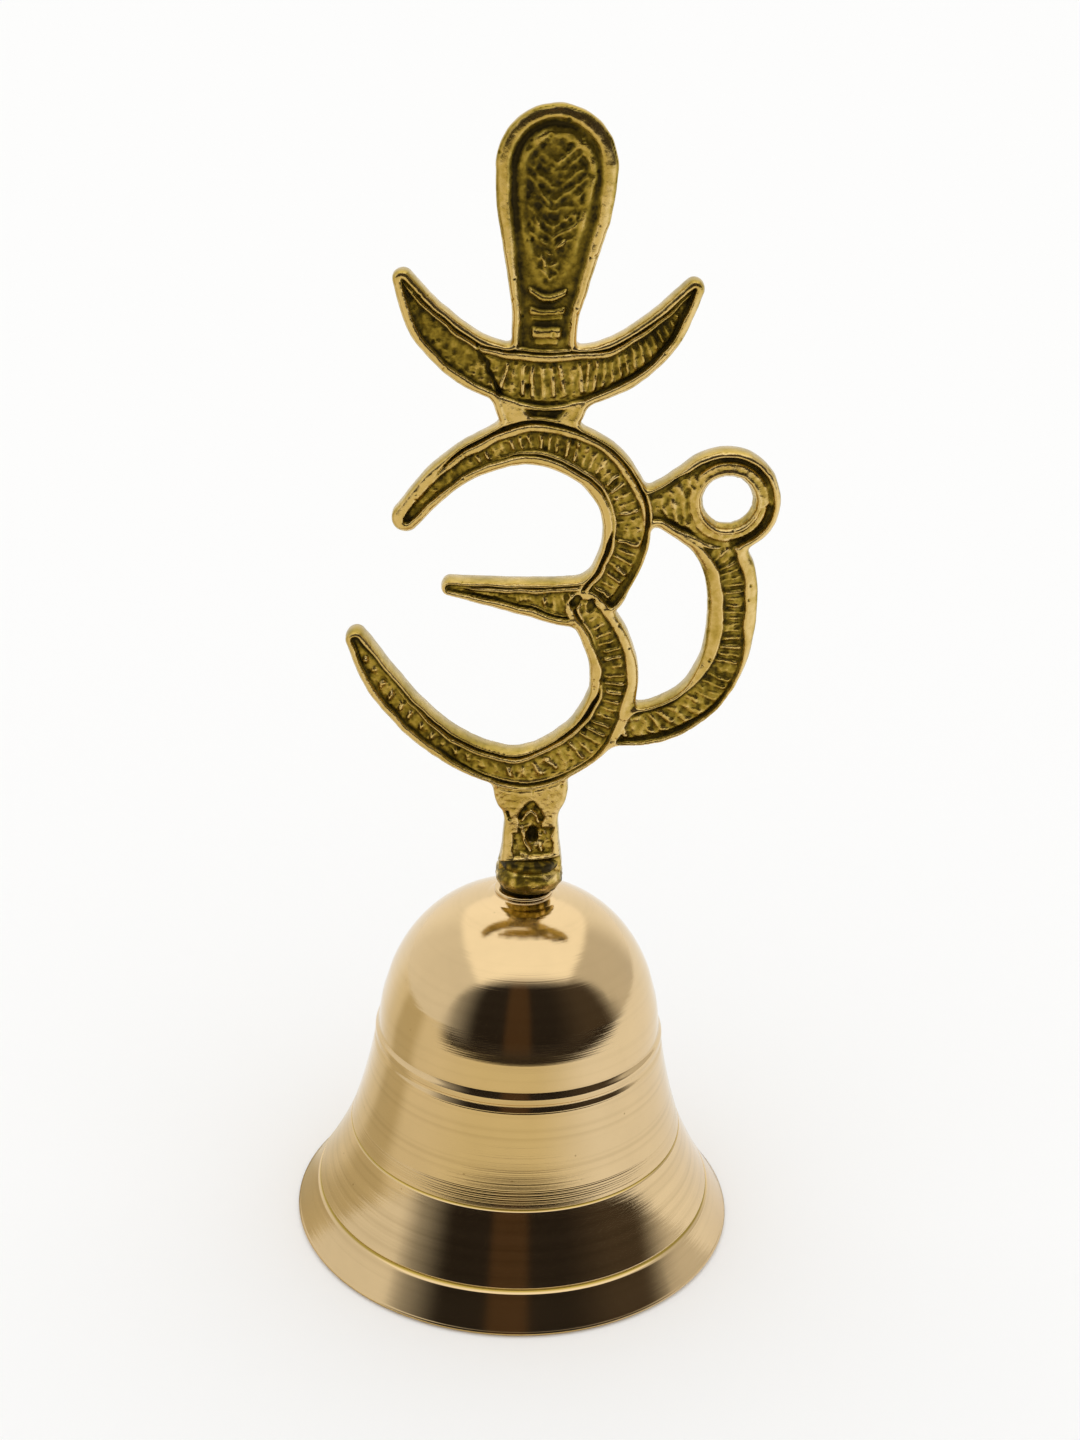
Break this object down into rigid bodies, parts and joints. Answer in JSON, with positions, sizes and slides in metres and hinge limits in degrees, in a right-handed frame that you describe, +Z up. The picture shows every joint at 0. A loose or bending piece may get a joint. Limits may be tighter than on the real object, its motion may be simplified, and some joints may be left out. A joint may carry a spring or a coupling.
{
  "type": "hand bell",
  "caption": "Flared hand bell with turned grooves, an openwork cast handle with a hanging ring, and a clapper that swings on a link.",
  "frame": {"origin": "centre of the mouth plane, on the axis of the bell", "axes": "+Z up along the bell's axis to the handle, -Y towards the front face of the handle, +X towards the hanging ring"},
  "size_m": [0.0598, 0.0598, 0.1479],
  "materials": {
    "shell": "polished, with fine turning marks",
    "cast": "sand cast, dark in the hollows and bright on the rims",
    "wire": "plain drawn wire",
    "nut": "satin"
  },
  "bodies": {
    "bell": {"bell_body": "shell", "om_handle": "cast", "hanger_bolt": "wire", "crown_washer": "wire", "lock_nut": "nut"},
    "hanging_link": {"link": "wire"},
    "clapper": {"clapper_shank": "wire", "clapper_bob": "shell"}
  },
  "joints": [
    {"name": "link_swing", "type": "hinge", "parent": "bell", "child": "hanging_link", "pos_m": [0, 0, 0.0319], "axis": [1, 0, 0], "range_deg": [-28, 28]},
    {"name": "clapper_swing", "type": "hinge", "parent": "hanging_link", "child": "clapper", "pos_m": [0, 0, 0.02685], "axis": [0, 1, 0], "range_deg": [-34, 34]}
  ]
}
